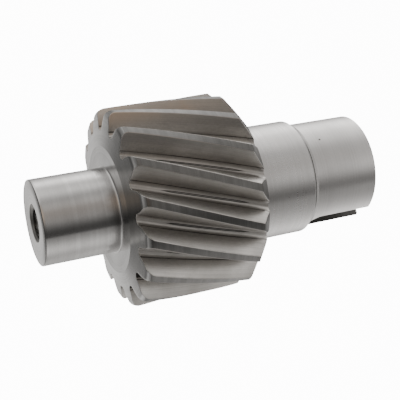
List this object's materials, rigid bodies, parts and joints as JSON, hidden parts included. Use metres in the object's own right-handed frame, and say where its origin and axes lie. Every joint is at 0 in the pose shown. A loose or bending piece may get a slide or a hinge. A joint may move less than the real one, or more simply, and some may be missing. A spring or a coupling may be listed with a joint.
{
  "type": "helical gear shaft",
  "caption": "Solid steel pinion shaft: right-hand helical gear between a short front journal with a tapped end hole and a rear bearing collar with a keyed seat.",
  "frame": {"origin": "centre of the rear end face, on the shaft's axis", "axes": "+Z along the shaft's axis from the keyed rear end towards the front journal; the keyway opens towards -Y"},
  "size_m": [0.0584, 0.0584, 0.1032],
  "materials": {
    "machined_steel": "ground seats, turned faces and ground tooth flanks, bare"
  },
  "bodies": {
    "root": {"helical_gear_shaft": "machined_steel"}
  },
  "joints": []
}
